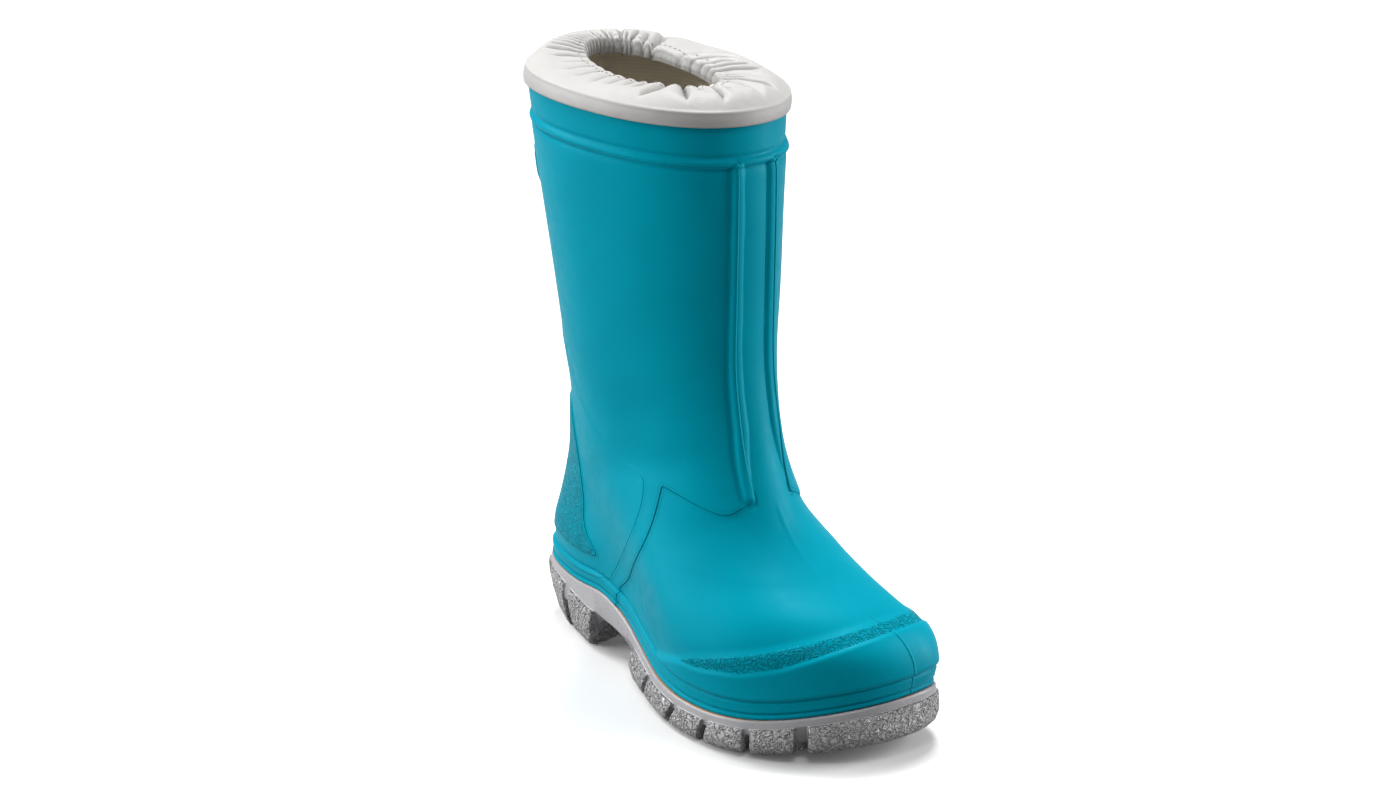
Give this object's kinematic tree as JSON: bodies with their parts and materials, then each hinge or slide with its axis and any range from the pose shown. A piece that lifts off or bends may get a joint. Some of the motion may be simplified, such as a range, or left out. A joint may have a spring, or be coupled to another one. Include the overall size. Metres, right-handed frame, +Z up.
{
  "type": "rubber boot",
  "caption": "Child's moulded rubber boot with a tall shaft, lugged sole, loose insole and a gathered fabric cuff at the top, right foot",
  "frame": {"origin": "on the floor, under the middle of the boot's bounding box", "axes": "+Z up, -Y towards the toe, +X towards the foot's inner side"},
  "size_m": [0.0934, 0.2048, 0.2438],
  "materials": {
    "upper": "smooth satin, teal",
    "outsole": "coarse moulded texture, grey",
    "insole": "woven, grey brown",
    "collar": "coated cloth, pale grey, soft sheen"
  },
  "bodies": {
    "root": {"upper": "upper", "outsole": "outsole", "insole": "insole", "collar": "collar"}
  },
  "joints": []
}
